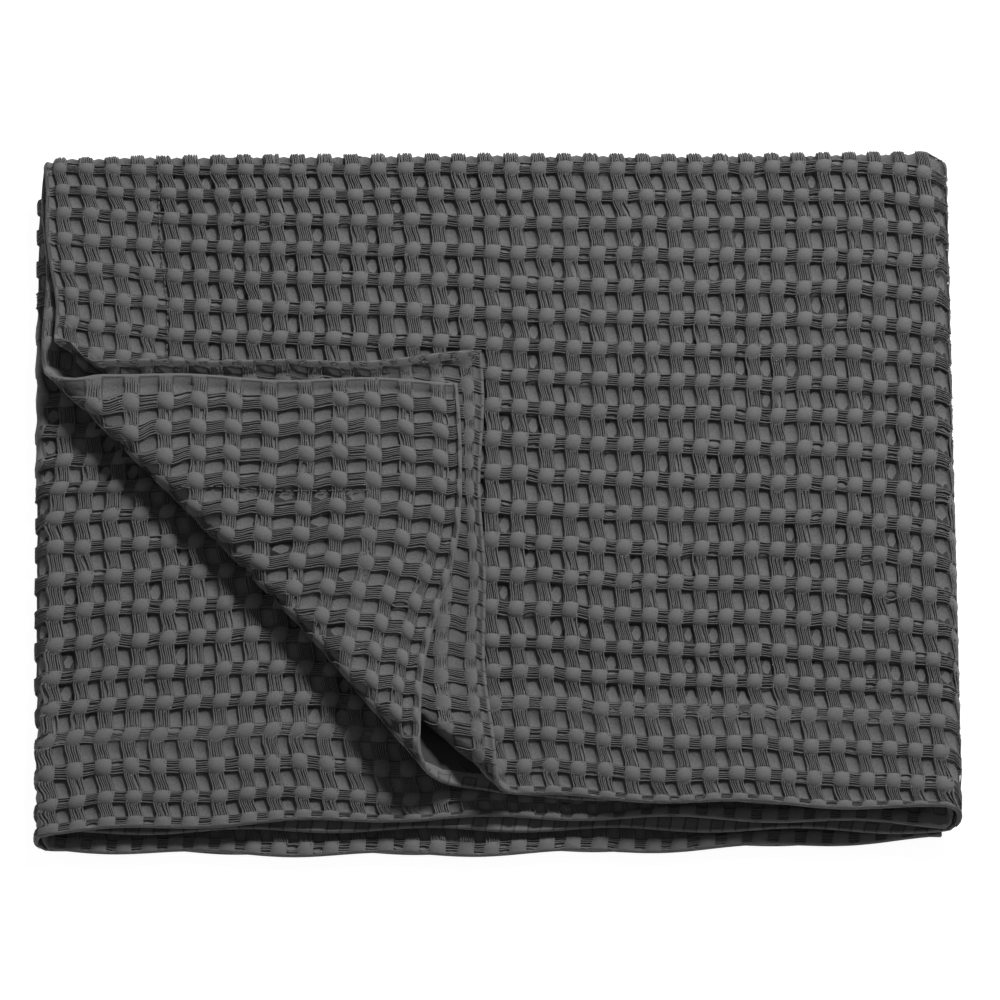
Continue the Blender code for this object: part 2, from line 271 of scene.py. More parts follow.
NEXT_YARN = 0.37  # how far the twist of a yarn is behind its neighbour's, in turns

# Stitches of the hems
STITCH = 0.0030
STITCH_GAP = 0.0013
STITCH_RADIUS = 0.00035
STITCH_HEIGHT = 0.00175
STITCH_START = 0.1
STITCH_RINGS = (0.0, 0.2, 0.8, 1.0)
STITCH_SINK = 0.00045

# The looks
COTTON = (0.108, 0.108, 0.108)
# Painted shade: the cloth between the layers, which has no relief, keeps only this share of its
# brightness
PAINTED_SHADE_BETWEEN_LAYERS = 0.35  # how much of its brightness the cloth keeps where it has no relief
# Where a block ends and its pocket, with its painted shade, begins, as shares of a cell, by column and by
# row
BLOCK_EDGE = Plan((0.21, 0.29), (0.215, 0.285))
# Where the painted shade along the pockets' walls starts and ends, as shares of a cell, by column and by
# row
CREVICE_START = Plan((0.23, 0.27), (0.20, 0.24))
CREVICE_END = Plan((0.29, 0.34), (0.255, 0.31))
THREADS = Plan(12.0, 15.0)
TWISTS = 1.1
BLACK = (0.0, 0.0, 0.0, 1.0)
WHITE = (1.0, 1.0, 1.0, 1.0)
FLOOR_SIZE = 6.0
FLOOR_COLOUR = (0.30, 0.30, 0.30, 1.0)
FLOOR_GLOW = 0.93
WORLD_STRENGTH = 0.21
KEY_PLACE = (0.78, 1.42, 1.56)
KEY_SIZE = 0.42
KEY_WATTS = 72.0
CAMERA_AIM = Vector((0.0046, 0.0, 0.012))
CAMERA_ELEVATION = math.radians(76.0)
CAMERA_DISTANCE = 2.4
CAMERA_SENSOR = 36.0
CAMERA_LENS = 169.95


def ease(t):
    t = np.clip(t, 0.0, 1.0)
    return t * t * (3.0 - 2.0 * t)


def fade_in(value, over):
    return ease((value - over.start) / over.length)


def fade_out(value, over):
    return 1.0 - fade_in(value, over)


# ---- How the cloth is folded


def through(three, t):
    start, middle, end = three
    return start * (1 - t) * (1 - 2 * t) + 4 * middle * t * (1 - t) + end * t * (2 * t - 1)


def outline(column, u):
    value = through(getattr(PANELS[0], column), u / PANEL)
    for index in range(1, len(PANELS)):
        start = index * (PANEL + FOLD_ARC)
        last = getattr(PANELS[index - 1], column)[-1]
        first = getattr(PANELS[index], column)[0]
        in_fold = last + (first - last) * ease((u - start + FOLD_ARC) / FOLD_ARC)
        value = np.where(u > start - FOLD_ARC, in_fold, value)
        value = np.where(u > start, through(getattr(PANELS[index], column), (u - start) / PANEL), value)
    return value


def fold_in_half(v, height):
    angle = np.clip((v + HALF_FOLD_ARC / 2.0) / HALF_FOLD_ARC, 0.0, 1.0) * math.pi
    depth = np.maximum(np.abs(v) - HALF_FOLD_ARC / 2.0, 0.0)
    reach = HALF_FOLD_RADIUS + height
    return depth, -reach * np.cos(angle), reach * np.sin(angle), v > 0


def from_crease(u, depth):
    """How far a point of the flat cloth lies along the crease, and how far beyond it."""
    down = depth - CREASE_DEPTH
    return u * ALONG_U + down * ALONG_DEPTH, down * ALONG_U - u * ALONG_DEPTH


def turn_corner(u, depth, rise, outer, drift):
    flat_u, flat_depth = u, depth
    s, w = from_crease(u, depth)
    drift_s = drift[0] * ALONG_U + drift[1] * ALONG_DEPTH
    drift_w = drift[1] * ALONG_U - drift[0] * ALONG_DEPTH
    for turn, shape, side, middle in (
        (OUTER_TURN, OUTER_KNEE, outer, HALF_FOLD_RADIUS),
        (INNER_TURN, INNER_KNEE, ~outer, -HALF_FOLD_RADIUS),
    ):
        opening = ease(1.0 - (CREASE_LENGTH - s) / turn.mouth_length)
        radius = turn.radius + (turn.mouth_radius - turn.radius) * opening
        start = turn.start + (turn.mouth_start - turn.start) * opening
        beyond = np.maximum(w - start - math.pi * radius, 0.0)
        angle = np.clip((w - start) / radius, 0.0, math.pi)
        own_radius = radius - (rise - middle)
        moved = knee(shape, flat_u, flat_depth) * ease(beyond / KNEE_SLOPE)
        settled = ease(beyond / MOUTH_SLOPE)
        reach = turn.stretch * beyond - turn.slack * opening * settled
        turned = side & (w > start) & (u < PANEL)
        s = np.where(turned, s - turn.lean * beyond + moved * ALONG_U, s)
        w_turned = start + own_radius * np.sin(angle) - reach + moved * ALONG_DEPTH
        w = np.where(turned, w_turned, w)
        sunk = 2.0 * (radius - turn.radius) * settled
        rise = np.where(turned, middle + radius - own_radius * np.cos(angle) - sunk, rise)
        drift_w = np.where(turned, drift_w * np.cos(angle), drift_w)
    s = s + drift_s
    w = w + drift_w
    return s * ALONG_U - w * ALONG_DEPTH, CREASE_DEPTH + s * ALONG_DEPTH + w * ALONG_U, rise


def front_to_back(depth, back, front, reach=HALF_WIDTH):
    return back + (front - back) * np.minimum(depth / reach, 1.0)


def lay_in_three(u, depth, rise, outer):
    edge = np.where(
        outer,
        front_to_back(depth, OUTER_EDGE_BACK_X, OUTER_EDGE_FRONT_X, OUTER_EDGE_SLANT),
        front_to_back(depth, INNER_EDGE_BACK_X, INNER_EDGE_FRONT_X),
    )
    left_fold = front_to_back(depth, LEFT_FOLD_BACK_X, LEFT_FOLD_FRONT_X)
    right_turn = np.clip((u - PANEL) / FOLD_RADIUS, 0.0, math.pi)
    left_turn = np.clip((u - SECOND_PANEL - PANEL) / FOLD_RADIUS, 0.0, math.pi)
    outside = FOLD_RADIUS + rise
    inside = FOLD_RADIUS - rise
    ends = (PANEL, SECOND_PANEL, SECOND_PANEL + PANEL, THIRD_PANEL, np.inf)
    x = (
        RIGHT_FOLD_X - (PANEL - u) * (RIGHT_FOLD_X - edge) / PANEL,
        RIGHT_FOLD_X + outside * np.sin(right_turn),
        RIGHT_FOLD_X + (u - SECOND_PANEL) * (left_fold - RIGHT_FOLD_X) / PANEL,
        left_fold - inside * np.sin(left_turn),
        left_fold + (u - THIRD_PANEL) * (LAST_EDGE_X - left_fold) / PANEL,
    )
    z = (
        TOP_PANEL_Z + rise,
        TOP_PANEL_Z - FOLD_RADIUS + outside * np.cos(right_turn),
        MIDDLE_PANEL_Z - rise,
        MIDDLE_PANEL_Z - FOLD_RADIUS + inside * np.cos(left_turn),
        BOTTOM_PANEL_Z + rise,
    )
    reached = [u <= end for end in ends]
    return np.select(reached, x), np.select(reached, z)


def place_in_y(u, depth, bulge, outer):
    back = outline("back", u)
    edge = np.where(outer, outline("outer_edge", u), outline("inner_edge", u))
    from_edge = HALF_WIDTH - depth
    gathered = HALF_WIDTH - (back - edge)
    return edge + from_edge - gathered * (from_edge / HALF_WIDTH) ** 3 + bulge


def round_back_corners(x, y):
    from_end = RIGHT_FOLD_X + FOLD_RADIUS - np.abs(x)
    near_end = 1.0 - np.clip(from_end / BACK_CORNER_REACH, 0.0, 1.0)
    back_reach = 3 * BACK_CORNER_REACH
    near_back = ease((y - PANELS[0].back[1] + back_reach) / back_reach)
    return y - BACK_CORNER * near_end**2 * near_back


def settle(x, y, z):
    share = np.clip(z / (TOP_PANEL_Z + HALF_FOLD_RADIUS), 0.0, 1.0) ** 2
    for wave in WAVES:
        phase = 2 * math.pi * (x / wave.length_x + y / wave.length_y) + wave.shift
        z = z + wave.height * share * np.sin(phase)
    return z


def share_turned_up(depth):
    """How far along the turned up part of a short hem, 0 at the crease and 1 at the corner."""
    return np.clip((depth - CREASE_DEPTH) / (HALF_WIDTH - CREASE_DEPTH), 0.0, 1.0)


def near_short_hem(u):
    return np.clip(1.0 - u / PANEL, 0.0, 1.0) ** 4


def wander(u, depth, outer):
    """How far the edges of the first panel stray from straight lines, across and along."""
    along = np.sin(2 * math.pi * u / EDGE_WAVE_LENGTH + np.where(outer, 0.0, 2.0))
    across = np.sin(2 * math.pi * depth / EDGE_WAVE_LENGTH + np.where(outer, 1.0, 3.0))
    sway = np.sin(2 * math.pi * u / SWAY_LENGTH) * ~outer * (u < SWAY_LENGTH)
    sag = np.sin(math.pi * share_turned_up(depth)) * outer
    across = (EDGE_WAVE * across + SAG * sag) * near_short_hem(u)
    return across, (EDGE_WAVE * along + SWAY * sway) * (depth / HALF_WIDTH) ** 4


def knee(shape, u, depth):
    """How far the turned up cloth near its short hem lies from where the solid has it."""
    turned_up = share_turned_up(depth)
    near = shape.near * fade_in(turned_up, KNEE_START) * fade_out(turned_up, shape.end)
    return (near + shape.all_along * (1.0 - turned_up)) * near_short_hem(u)


def curl(u, depth, outer):
    """How far the outer cloth's short hem curls up where it is turned over."""
    turned_up = share_turned_up(depth)
    high = (CURL_START + (CURL_END - CURL_START) * turned_up) * ease(turned_up / CURL_RISE)
    return outer * high * (1.0 - np.clip(u / CURL_REACH, 0.0, 1.0)) ** 2


def fold(u, v, height):
    """Where a point of the flat blanket ends up, as an array of places."""
    depth, rise, bulge, outer = fold_in_half(v, height)
    curled = curl(u, depth, outer)
    u, depth, rise = turn_corner(u, depth, rise, outer, wander(u, depth, outer))
    x, z = lay_in_three(u, depth, rise, outer)
    y = round_back_corners(x, place_in_y(u, depth, bulge, outer))
    return np.stack([x, y, settle(x, y, z) + curled], axis=1)


def middle_of_folded():
    """The middle of the folded cloth, without its relief, which lies over the frame's origin."""
    u, v = (axis.ravel() for axis in np.meshgrid(
        np.linspace(0.0, LENGTH, 1400), np.linspace(-WIDTH / 2, WIDTH / 2, 700)
    ))
    half = THICKNESS / 2.0
    sides = np.concatenate([fold(u, v, np.full(len(u), height)) for height in (half, -half)])
    middle = (sides.min(axis=0) + sides.max(axis=0)) / 2.0
    middle[2] = 0.0
    return middle


MIDDLE = middle_of_folded()

# ---- The weave's own places


def u_of(column):
    return np.interp(column, [c.number for c in COLUMNS], [c.u for c in COLUMNS])


def column_of(u):
    return np.interp(u, [c.u for c in COLUMNS], [c.number for c in COLUMNS])


def v_of(row):
    number = np.minimum(row, LAST_ROW - row)
    from_edge = np.interp(number, [r.number for r in ROWS], [r.from_edge for r in ROWS])
    return np.where(np.asarray(row) * 2 < LAST_ROW, from_edge - WIDTH / 2, WIDTH / 2 - from_edge)


def row_of(v):
    from_edge = WIDTH / 2 - np.abs(v)
    number = np.interp(from_edge, [r.from_edge for r in ROWS], [r.number for r in ROWS])
    return np.where(v < 0, number, LAST_ROW - number)


chance = np.random.default_rng(7)
UNEVEN = {
    what: chance.normal(0.0, 1.0, (2, LAST_COLUMN + 5, LAST_ROW + 5))
    for what in ("block", "pocket", "stray")
}


def pick(what, side, column, row):
    column = np.clip(column + 2, 0, LAST_COLUMN + 4).astype(int)
    row = np.clip(row + 2, 0, LAST_ROW + 4).astype(int)
    return UNEVEN[what][side, column, row]


def dome(a, b, half):
    return np.clip((1.0 - (a / half.column) ** 2) * (1.0 - (b / half.row) ** 2), 0, 1)


def relief(column, row, front, bare):
    """How high the woven surface stands off the middle of the cloth, on its outside or its inside."""
    column = column + np.where(front, 0.0, 0.5)
    row = row + np.where(front, 0.0, 0.5)
    side = np.where(front, 0, 1)
    a = np.abs(column - np.round(column))
    b = np.abs(row - np.round(row))
    in_column = fade_out(a, Fade(BLOCK_HALF.column, BLOCK_WALL))
    in_row = fade_out(b, Fade(BLOCK_HALF.row, BLOCK_WALL))
    block = BLOCK + BLOCK_DOME * dome(a, b, BLOCK_DOME_HALF)
    block = block + BLOCK_UNEVEN * pick("block", side, np.round(column), np.round(row))
    pocket = POCKET + POCKET_DOME * dome(0.5 - a, 0.5 - b, POCKET_DOME_HALF)
    pocket = pocket + POCKET_UNEVEN * pick("pocket", side, np.floor(column), np.floor(row))
    under_long = np.where(bare, LONG_BARE, UNDER_LONG)
    under_short = np.where(bare, SHORT_BARE, UNDER_SHORT)
    height = in_column * (in_row * block + (1 - in_row) * under_long)
    return height + (1 - in_column) * (in_row * under_short + (1 - in_row) * pocket)


def pinch(a, b, most, wall):
    """How far the weave draws in towards the middle of a strip, across it."""
    near_wall = np.interp(np.abs(a), (0.0, wall, 0.5), (0.0, 1.0, 0.0)) * np.sign(a)
    return -most * near_wall * (1 - np.cos(2 * math.pi * b)) / 2


def ripple(shape, column, row):
    return shape.height * np.sin(column * shape.by_column + row * shape.by_row + shape.start)


def stray(column, row):
    """How far the blocks around a place are out of line, across and along."""
    across, along = 0.0, 0.0
    low_column = np.floor(column)
    low_row = np.floor(row)
    part_column = ease(column - low_column)
    part_row = ease(row - low_row)
    for step_column, share_column in ((0, 1 - part_column), (1, part_column)):
        for step_row, share_row in ((0, 1 - part_row), (1, part_row)):
            share = share_column * share_row * STRAY
            at = (low_column + step_column, low_row + step_row)
            across = across + share * pick("stray", 0, *at)
            along = along + share * pick("stray", 1, *at)
    across = across + ripple(RIPPLE_ACROSS, column, row)
    along = along + ripple(RIPPLE_ALONG, column, row)
    for by_row, by_column, share in (
        (OUTER_ROWS, OUTER_COLUMNS, fade_out(column, OUTER_TO_COLUMN) * fade_in(row, OUTER_FROM_ROW)),
        (CORNER_ROWS, CORNER_COLUMNS, fade_out(column, CORNER_TO_COLUMN) * fade_out(row, CORNER_TO_ROW)),
        (INNER_ROWS, INNER_COLUMNS, fade_in(column, INNER_FROM_COLUMN) * (row < LAST_ROW / 2)),
    ):
        for table, place in ((by_row, row), (by_column, column)):
            number, table_across, table_along = zip(*table)
            across = across + share * np.interp(place, number, table_across)
            along = along + share * np.interp(place, number, table_along)
    return across, along


def draw_in(column, row, front):
    """The weave with its strips drawn in between the blocks and its blocks out of line, in cells."""
    a = column + np.where(front, 0.0, 0.5)
    b = row + np.where(front, 0.0, 0.5)
    a = a - np.round(a)
    b = b - np.round(b)
    from_side = np.minimum(column - COLUMNS[0].number, COLUMNS[-1].number - column)
    from_front = np.minimum(row - ROWS[0].number, LAST_ROW - ROWS[0].number - row)
    leaning = np.sin(2 * math.pi * b) * fade_in(np.abs(b), STRIP_LEAN_START)
    stray_across, stray_along = stray(column, row)
    across = pinch(a, b, PINCH.column, PINCH_AT.column) - STRIP_LEAN * leaning + stray_across
    along = pinch(b, a, PINCH.row, PINCH_AT.row) + stray_along
    return column + across * ease(from_side / RIM_CELLS), row + along * ease(from_front / RIM_CELLS)


def from_hems(u, v):
    return np.minimum(u, LENGTH - u), WIDTH / 2 - np.abs(v)


def hem(u, v):
    """1 on the hems, 0 elsewhere."""
    from_side, from_front = from_hems(u, v)
    in_side = ease((SIDE_HEM - from_side) / HEM_STEP + 0.5)
    return np.maximum(in_side, ease((FRONT_HEM - from_front) / HEM_STEP + 0.5))


def seam(u, v):
    """1 on the seams of the hems, 0 elsewhere."""
    from_side, from_front = from_hems(u, v)
    near = np.minimum(np.abs(from_side - SIDE_HEM), np.abs(from_front - FRONT_HEM))
    at_corner = (from_side < SIDE_HEM) & (from_front < FRONT_HEM)
    return np.where(at_corner, 0.0, 1.0 - ease(near / (SEAM_WIDTH / 2.0)))


def stand(u, v, height, front):
    """A height off the cloth's middle, with the hems' two plies, the seams and the rounded rim."""
    in_hem = hem(u, v)
    from_side, from_front = from_hems(u, v)
    from_rim = np.minimum(from_side, from_front)
    from_seam = np.abs(from_front - FRONT_HEM)
    fill = np.maximum(in_hem * HEM_FILL, SEAM_FILL * fade_out(from_seam, SEAM_FILL_END))
    height = height + fill * (1.0 - height / BLOCK)
    bumps = 1.0 + ROPE_BUMPS * np.sin(4 * math.pi * (column_of(u) + row_of(v)))
    rolled = ease((v - HALF_FOLD_ARC / 2 - CREASE_DEPTH) / ROLL_LENGTH) * (u < SIDE_HEM)
    at_side = from_side < from_front
    width = np.where(at_side, SIDE_ROPE_WIDTH * (1.0 + ROLL_WIDER * rolled), FRONT_ROPE_WIDTH)
    in_rope = 1.0 - ease((from_rim - width) / ROPE_SLOPE)
    rope = ROPE * bumps * (1.0 + ROLL_HIGHER * rolled * at_side)
    height = height + in_rope * np.maximum(rope - height, 0.0)
    height = height * (1.0 + (HEM_LIFT - 1.0) * in_hem)
    height = height - SEAM_DIP * seam(u, v) * np.where(front, 1.0, SEAM_DIP_INSIDE)
    underneath = ease((u - THIRD_PANEL + FOLD_ARC) / FOLD_ARC) * (v < 0) * front
    flat = np.minimum(height * UNDERNEATH, THICKNESS / 2.0)
    height = height * (1.0 - underneath) + flat * underneath
    rounding = np.sqrt(np.clip(1.0 - (1.0 - np.clip(from_rim / RIM, 0.0, 1.0)) ** 2, 0.0, 1.0))
    return height * rounding


def lay_sewn(u, v, height, front):
    """The place in the folded blanket of points of the flat cloth, on its outside or its inside."""
    return fold(u, v, stand(u, v, height, front) * np.where(front, 1.0, -1.0)) - MIDDLE


def lay(column, row, height, front):
    """The same for points of the weave."""
    column, row = draw_in(column, row, front)
    return lay_sewn(u_of(column), v_of(row), height, front)


# ---- The cloth's mesh

COARSE, PLAIN, FINE = 0, 1, 2


class Grid:
    """Lines across the flat cloth in one direction, and the cells of the weave between them."""

    def __init__(self, last, low, high, fine, plain, place_of, number_of):
        shares = sorted({*fine, *plain})
        numbers = np.array([cell + share for cell in range(-1, last + 2) for share in shares])
        places = place_of(numbers)
        inside = (places > low + RIM_CLEAR) & (places < high - RIM_CLEAR)
        lines = list(zip(places[inside], numbers[inside]))
        for edge in RIM_LINES:
            lines += [(low + edge, None), (high - edge, None)]
        lines.sort(key=lambda line: line[0])
        self.places = np.array([place for place, _ in lines])
        woven = {i: number for i, (_, number) in enumerate(lines) if number is not None}
        ends = [0, *(i for i, number in woven.items() if number == round(number)), len(lines) - 1]
        self.cells = list(zip(ends[:-1], ends[1:]))
        self.first_number = [
            int(math.floor(number_of(self.places[(start + end) // 2]))) for start, end in self.cells
        ]
        self.lines = []
        for start, end in self.cells:
            inner = range(start + 1, end)
            coarse = {start, end, *(i for i in inner if i not in woven)}
            plainer, finer = (
                coarse | {i for i in inner if i in woven and at_share(woven[i], shares)}
                for shares in (plain, fine)
            )
            self.lines.append([sorted(level) for level in (coarse, plainer, finer)])

    def middle(self, cell):
        start, end = self.cells[cell]
        return (self.places[start] + self.places[end]) / 2.0


def at_share(number, shares):
    part = number - math.floor(number + 1e-9)
    return any(abs(part - share) < 1e-6 for share in shares)


def how_fine(u, v, front):
    """Which cells of the weave show, on the outside (front) and on the inside of the cloth."""
    depth = abs(v) - HALF_FOLD_ARC / 2.0
    outer = v > 0
    from_front = HALF_WIDTH - depth
    if depth < 0:
        return FINE if front else COARSE
    right_fold = PANEL + FOLD_ARC / 2
    left_fold = SECOND_PANEL + PANEL + FOLD_ARC / 2
    for middle, shown in ((right_fold, outer), (left_fold, not outer)):
        if abs(u - middle) < FOLD_SHOWN:
            return FINE if front and shown else PLAIN
    if not front:
        return how_fine_inside(u, depth, outer)
    if u < right_fold:
        return how_fine_on_top(u, depth, outer)
    if u < left_fold and not outer:
        _, beyond = from_crease(SECOND_PANEL + PANEL - u, depth)
        return FINE if beyond > MIDDLE_PANEL_FROM or from_front < MIDDLE_PANEL_SHOWN else COARSE
    if u > left_fold:
        return PLAIN if not outer else FINE if from_front < BOTTOM_PANEL_SHOWN else COARSE
    return PLAIN if from_front < EDGE_SHOWN else COARSE


def how_fine_inside(u, depth, outer):
    s, w = from_crease(u, depth)
    from_front = HALF_WIDTH - depth
    from_side = min(u, LENGTH - u)
    at_mouth = s > CREASE_LENGTH - MOUTH_SHOWN
    if u < PANEL and outer and w > (OUTER_INSIDE_FROM_AT_MOUTH if at_mouth else OUTER_INSIDE_FROM):
        return FINE if at_mouth or min(from_side, from_front) < HEM_SHOWN else COARSE
    if u < SHORT_HEM_SHOWN and not outer and w < SHORT_HEM_SHOWN_TO:
        return FINE
    in_mouth = s > CREASE_LENGTH - MOUTH_SHOWN_INSIDE and w > INNER_INSIDE_FROM
    if u < PANEL and not outer and in_mouth:
        return PLAIN
    return PLAIN if min(from_side, from_front) < EDGE_SHOWN else COARSE


def how_fine_on_top(u, depth, outer):
    s, w = from_crease(u, depth)
    if outer:
        at_mouth = s > CREASE_LENGTH - MOUTH_SHOWN
        hidden = w > (OUTER_TO_AT_MOUTH if at_mouth else OUTER_TO) or under_flap(s, w)
        return COARSE if hidden else FINE
    if w > INNER_FROM:
        return FINE
    return PLAIN if HALF_WIDTH - depth < EDGE_SHOWN else COARSE


def under_flap(s, w):
    """Whether the outside of the top cloth lies well under the turned corner."""
    back = FLAP_TURN - w
    mirrored_u = s * ALONG_U - back * ALONG_DEPTH
    mirrored_depth = CREASE_DEPTH + s * ALONG_DEPTH + back * ALONG_U
    return w < FLAP_FROM and mirrored_u > FLAP_MARGIN and mirrored_depth < HALF_WIDTH - FLAP_MARGIN


def walk(fixed, start, end, along_u, neighbour):
    """The nodes from one corner of a face to the next, with those that the neighbour has on that side."""
    step = 1 if end > start else -1
    nodes = []
    for index in range(start, end, step):
        if index == start or index in neighbour:
            nodes.append((index, fixed) if along_u else (fixed, index))
    return nodes


def side_faces(columns, rows, levels):
    """The faces of one side of the cloth, as lists of grid nodes, going round as seen from outside it."""
    last_i = len(columns.cells) - 1
    last_j = len(rows.cells) - 1
    for i, (u0, u1) in enumerate(columns.cells):
        for j, (v0, v1) in enumerate(rows.cells):
            xs = columns.lines[i][levels[i][j]]
            ys = rows.lines[j][levels[i][j]]
            below = set(columns.lines[i][levels[i][j - 1]]) if j > 0 else ()
            above = set(columns.lines[i][levels[i][j + 1]]) if j < last_j else ()
            left = set(rows.lines[j][levels[i - 1][j]]) if i > 0 else ()
            right = set(rows.lines[j][levels[i + 1][j]]) if i < last_i else ()
            for x0, x1 in zip(xs[:-1], xs[1:]):
                for y0, y1 in zip(ys[:-1], ys[1:]):
                    nodes = walk(y0, x0, x1, True, below if y0 == v0 else ())
                    nodes += walk(x1, y0, y1, False, right if x1 == u1 else ())
                    nodes += walk(y1, x1, x0, True, above if y1 == v1 else ())
                    nodes += walk(x0, y1, y0, False, left if x0 == u0 else ())
                    yield levels[i][j], nodes


def match_rims(levels):
    """Cells on the rim are as fine on both sides, so that the two sides meet."""
    last_i = len(levels[True]) - 1
    last_j = len(levels[True][0]) - 1
    for i in range(last_i + 1):
        for j in range(last_j + 1):
            if i in (0, last_i) or j in (0, last_j):
                finest = max(levels[True][i][j], levels[False][i][j])
                levels[True][i][j] = levels[False][i][j] = finest


def flat_cloth():
    """The flat cloth as a bmesh: u on X, v on Y, and on Z which side of the cloth, with 0 at its rim."""
    columns = Grid(LAST_COLUMN, 0.0, LENGTH, FINE_COLUMN_LINES, PLAIN_COLUMN_LINES, u_of, column_of)
    rows = Grid(LAST_ROW, -WIDTH / 2, WIDTH / 2, FINE_ROW_LINES, PLAIN_ROW_LINES, v_of, row_of)
    levels = {}
    for front in (True, False):
        levels[front] = [
            [how_fine(columns.middle(i), rows.middle(j), front) for j in range(len(rows.cells))]
            for i in range(len(columns.cells))
        ]
    match_rims(levels)
    last_u = len(columns.places) - 1
    last_v = len(rows.places) - 1
    cloth = bmesh.new()
    fineness = cloth.faces.layers.int.new("fineness")
    verts = {}

    def vert(node, side):
        if node[0] in (0, last_u) or node[1] in (0, last_v):
            side = 0
        key = (node, side)
        if key not in verts:
            flat = (columns.places[node[0]], rows.places[node[1]], float(side))
            verts[key] = cloth.verts.new(flat)
        return verts[key]

    for front, side in ((True, 1), (False, -1)):
        for level, nodes in side_faces(columns, rows, levels[front]):
            corners = [vert(node, side) for node in nodes]
            face = cloth.faces.new(corners[::-1] if front else corners)
            face[fineness] = level
    return cloth, columns, rows, levels


def bisect(cloth, faces, place, across):
    edges = {edge for face in faces for edge in face.edges}
    corners = {vert for face in faces for vert in face.verts}
    parts = [*faces, *edges, *corners]
    bmesh.ops.bisect_plane(cloth, geom=parts, dist=1e-7, plane_co=place, plane_no=across)


def divide_turn(cloth, turn, side, steps):
    """Lines along the crease, on one side of the half fold."""
    crease_v = side * (HALF_FOLD_ARC / 2 + CREASE_DEPTH)
    across = (-ALONG_DEPTH, side * ALONG_U, 0.0)
    first = min(turn.start, turn.mouth_start)
    end = turn.start + math.pi * turn.radius
    last = max(end, turn.mouth_start + math.pi * turn.mouth_radius)
    for step in range(steps + 1):
        cut = first + (last - first) * step / steps
        faces = []
        for face in cloth.faces:
            u, v, _ = face.calc_center_median()
            if u < PANEL and side * v > HALF_FOLD_ARC / 2:
                _, beyond = from_crease(u, side * v - HALF_FOLD_ARC / 2)
                if abs(beyond - cut) < TURN_REACH:
                    faces.append(face)
        place = (cut * across[0], crease_v + cut * ALONG_U, 0.0)
        bisect(cloth, faces, place, across)


def divide_half_fold(cloth):
    for step in range(HALF_FOLD_LINES + 1):
        v = HALF_FOLD_ARC * (step / HALF_FOLD_LINES - 0.5)
        faces = [face for face in cloth.faces if abs(face.calc_center_median().y) < HALF_FOLD_REACH]
        bisect(cloth, faces, (0.0, v, 0.0), (0.0, 1.0, 0.0))


def woven_cloth():
    cloth, columns, rows, levels = flat_cloth()
    divide_half_fold(cloth)
    divide_turn(cloth, OUTER_TURN, 1.0, OUTER_TURN_LINES)
    divide_turn(cloth, INNER_TURN, -1.0, INNER_TURN_LINES)
    fineness = cloth.faces.layers.int["fineness"]
    flat = np.array([vert.co[:] for vert in cloth.verts])
    column = column_of(flat[:, 0])
    row = row_of(flat[:, 1])
    side = flat[:, 2]
    coarsest = np.array([min(face[fineness] for face in vert.link_faces) for vert in cloth.verts])
    height = relief(column, row, side > 0, coarsest < FINE)
    height = np.where(coarsest == COARSE, np.maximum(height, COARSE_HEIGHT), height)
    folded = lay(column, row, height * np.abs(side), side > -0.5)
    layer = cloth.loops.layers.uv.new("weave")
    cloth.verts.index_update()
    for face in cloth.faces:
        middle = face.calc_center_median()
        offset = 0.0 if middle.z > 0 else 0.5
        for loop in face.loops:
            index = loop.vert.index
            loop[layer].uv = (column[index] + offset, row[index] + offset)
        # Faces deep inside the cloth, which have no relief, take the material with painted shade.
        deep_inside = offset > 0.0 and WIDTH / 2 - abs(middle.y) > EDGE_SHOWN
        dark = face[fineness] == COARSE or (deep_inside and face[fineness] == PLAIN)
        face.material_index = int(dark)
    for vert, place in zip(cloth.verts, folded):
        vert.co = place
    mesh = bpy.data.meshes.new("cloth")
    cloth.to_mesh(mesh)
    cloth.free()
    mesh.shade_smooth()
    return add_piece("cloth", mesh), levels, columns, rows


def add_piece(name, mesh):
    piece = bpy.data.objects.new(name, mesh)
    bpy.context.scene.collection.objects.link(piece)
    return piece


# ---- The floating yarns

CORNER_TURNS = math.pi / 2 + 2 * math.pi * np.arange(CORNERS) / CORNERS


def ring_places(rings):
    """Where a yarn's rings lie along it, from 0 to 1."""
    t = np.linspace(0.0, 1.0, rings)
    from_end = np.minimum(t, 1 - t)
    from_end = from_end * (RINGS_AT_ENDS + 2 * (1 - RINGS_AT_ENDS) * from_end)
    return np.where(t < 0.5, from_end, 1 - from_end)


def yarn_routes(kind, many):
    """How the yarns of many floats run, ring by ring: across and along their cells, and how high."""
    random = np.random.default_rng(many)
    t = ring_places(len(kind.tops))
    in_middle = np.sin(math.pi * t)
    number = np.arange(kind.yarns)[None, :, None]
    place = (number / (kind.yarns - 1) - 0.5) * 2
    by_float = (many, 1, 1)
    by_yarn = (many, kind.yarns, 1)
    from_split = number - (random.integers(0, kind.yarns, by_float) + 0.5)
    split = np.abs(random.normal(0.0, kind.split, by_float))
    parting = split * np.sign(from_split) * SPLIT_FADE ** (np.abs(from_split) - 0.5)
    bow = random.normal(0.0, FLOAT_BOW, by_float) + parting + random.normal(0.0, YARN_BOW, by_yarn)
    lean = random.normal(0.0, kind.lean, by_float) + random.normal(0.0, kind.lean / 2, by_yarn)
    leaning = (t - 0.5) * np.sin(math.pi * np.clip(t, LEAN_LOW, LEAN_HIGH))
    across = place * kind.spread + random.normal(0.0, YARN_SHIFT, by_yarn)
    across = across + lean * leaning + bow * in_middle
    start = kind.start - kind.reach * place**2
    end = kind.end + kind.reach * place**2
    along = start + (end - start) * t + random.normal(0.0, YARN_END, by_yarn)
    sag = OUTER_YARN_SAG * place**4 + np.abs(random.normal(0.0, YARN_SAG, by_yarn))
    rise = kind.rise * place**2 * (1.0 - in_middle) ** 2
    return across, along, np.array(kind.tops) + rise - sag * in_middle


